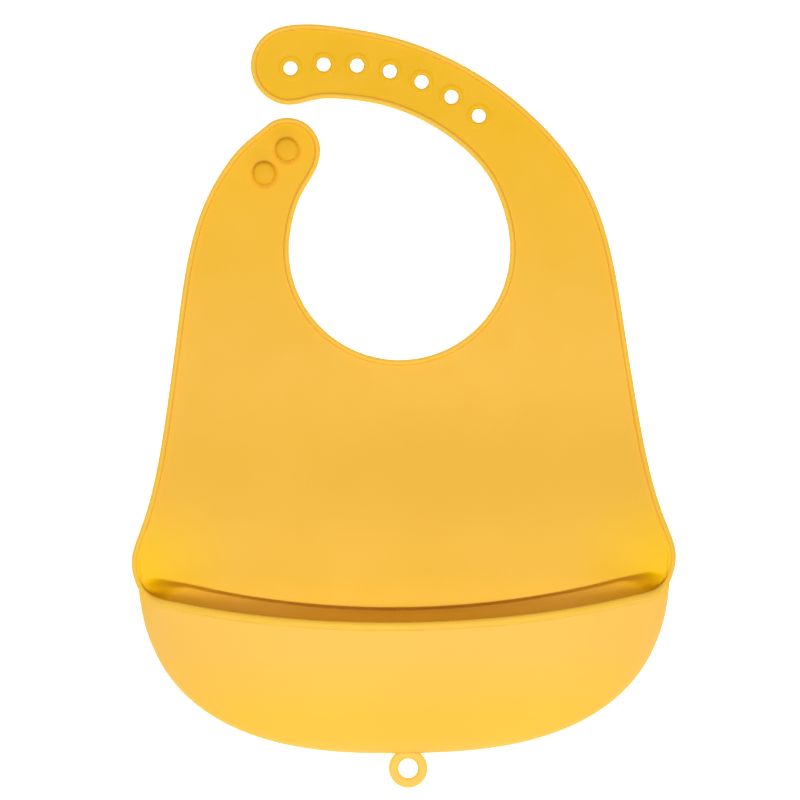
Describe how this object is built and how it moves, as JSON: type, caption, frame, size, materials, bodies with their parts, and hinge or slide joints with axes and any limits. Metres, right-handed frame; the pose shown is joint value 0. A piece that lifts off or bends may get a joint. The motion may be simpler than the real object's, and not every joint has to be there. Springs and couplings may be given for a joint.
{
  "type": "silicone bib",
  "caption": "Moulded silicone bib with a neck opening, a long holed strap, a short strap with studs, a food-catching pocket and a hanging loop.",
  "frame": {"origin": "centre of the whole bib's bounding box, at the level of the table that it lies on", "axes": "+X to the right seen from the front, +Y from the pocket to the neck straps, +Z out of the front face"},
  "size_m": [0.2252, 0.3164, 0.0377],
  "materials": {
    "sheet_silicone": "satin",
    "pocket_silicone": "satin",
    "edge_silicone": "satin",
    "stud_silicone": "satin"
  },
  "bodies": {
    "root": {"lower_panel": "sheet_silicone", "lower_panel_bead": "edge_silicone", "pocket_bowl": "pocket_silicone", "pocket_cheek_rims": "edge_silicone", "hanging_loop": "pocket_silicone"},
    "pocket_front": {"pocket_front_wall": "pocket_silicone", "pocket_front_rim": "edge_silicone"},
    "middle_panel": {"middle_panel": "sheet_silicone", "middle_panel_bead": "edge_silicone"},
    "neck_yoke": {"neck_yoke": "sheet_silicone", "neck_yoke_bead": "edge_silicone"},
    "short_strap": {"short_strap": "sheet_silicone", "short_strap_bead": "edge_silicone", "upper_stud": "stud_silicone", "lower_stud": "stud_silicone"},
    "long_strap_base": {"long_strap_base": "sheet_silicone", "long_strap_base_bead": "edge_silicone"},
    "long_strap_middle": {"long_strap_middle": "sheet_silicone", "long_strap_middle_bead": "edge_silicone", "eyelets_middle": "sheet_silicone"},
    "long_strap_tip": {"long_strap_tip": "sheet_silicone", "long_strap_tip_bead": "edge_silicone", "eyelets_tip": "sheet_silicone"}
  },
  "joints": [
    {"name": "pocket_front_flex", "type": "hinge", "parent": "root", "child": "pocket_front", "pos_m": [0, -0.1365, 0.013], "axis": [1, 0, 0], "range_deg": [-12, 15], "stiffness_Nm_per_rad": 0.15},
    {"name": "panel_fold_low", "type": "hinge", "parent": "root", "child": "middle_panel", "pos_m": [0, -0.05, 0.0114], "axis": [1, 0, 0], "range_deg": [-20, 70], "stiffness_Nm_per_rad": 0.004},
    {"name": "panel_fold_high", "type": "hinge", "parent": "middle_panel", "child": "neck_yoke", "pos_m": [0, -0.005, 0.0014], "axis": [1, 0, 0], "range_deg": [-20, 70], "stiffness_Nm_per_rad": 0.004},
    {"name": "short_strap_bend", "type": "hinge", "parent": "neck_yoke", "child": "short_strap", "pos_m": [-0.0657, 0.068, 0.0014], "axis": [1, 0, 0], "range_deg": [-60, 30], "stiffness_Nm_per_rad": 0.002},
    {"name": "long_strap_bend_shoulder", "type": "hinge", "parent": "neck_yoke", "child": "long_strap_base", "pos_m": [0.0657, 0.068, 0.0014], "axis": [1, 0, 0], "range_deg": [-55, 30], "stiffness_Nm_per_rad": 0.002},
    {"name": "long_strap_bend_middle", "type": "hinge", "parent": "long_strap_base", "child": "long_strap_middle", "pos_m": [0.04241, 0.11117, 0.0014], "axis": [0.7314, 0.682, 0], "range_deg": [-55, 30], "stiffness_Nm_per_rad": 0.002},
    {"name": "long_strap_bend_tip", "type": "hinge", "parent": "long_strap_middle", "child": "long_strap_tip", "pos_m": [0.00377, 0.13636, 0.0014], "axis": [0.3289, 0.9444, 0], "range_deg": [-55, 30], "stiffness_Nm_per_rad": 0.002}
  ],
  "couplings": [
    {"joint": "panel_fold_high", "follows": "panel_fold_low", "ratio": 1},
    {"joint": "long_strap_bend_middle", "follows": "long_strap_bend_shoulder", "ratio": 1},
    {"joint": "long_strap_bend_tip", "follows": "long_strap_bend_shoulder", "ratio": 1}
  ]
}
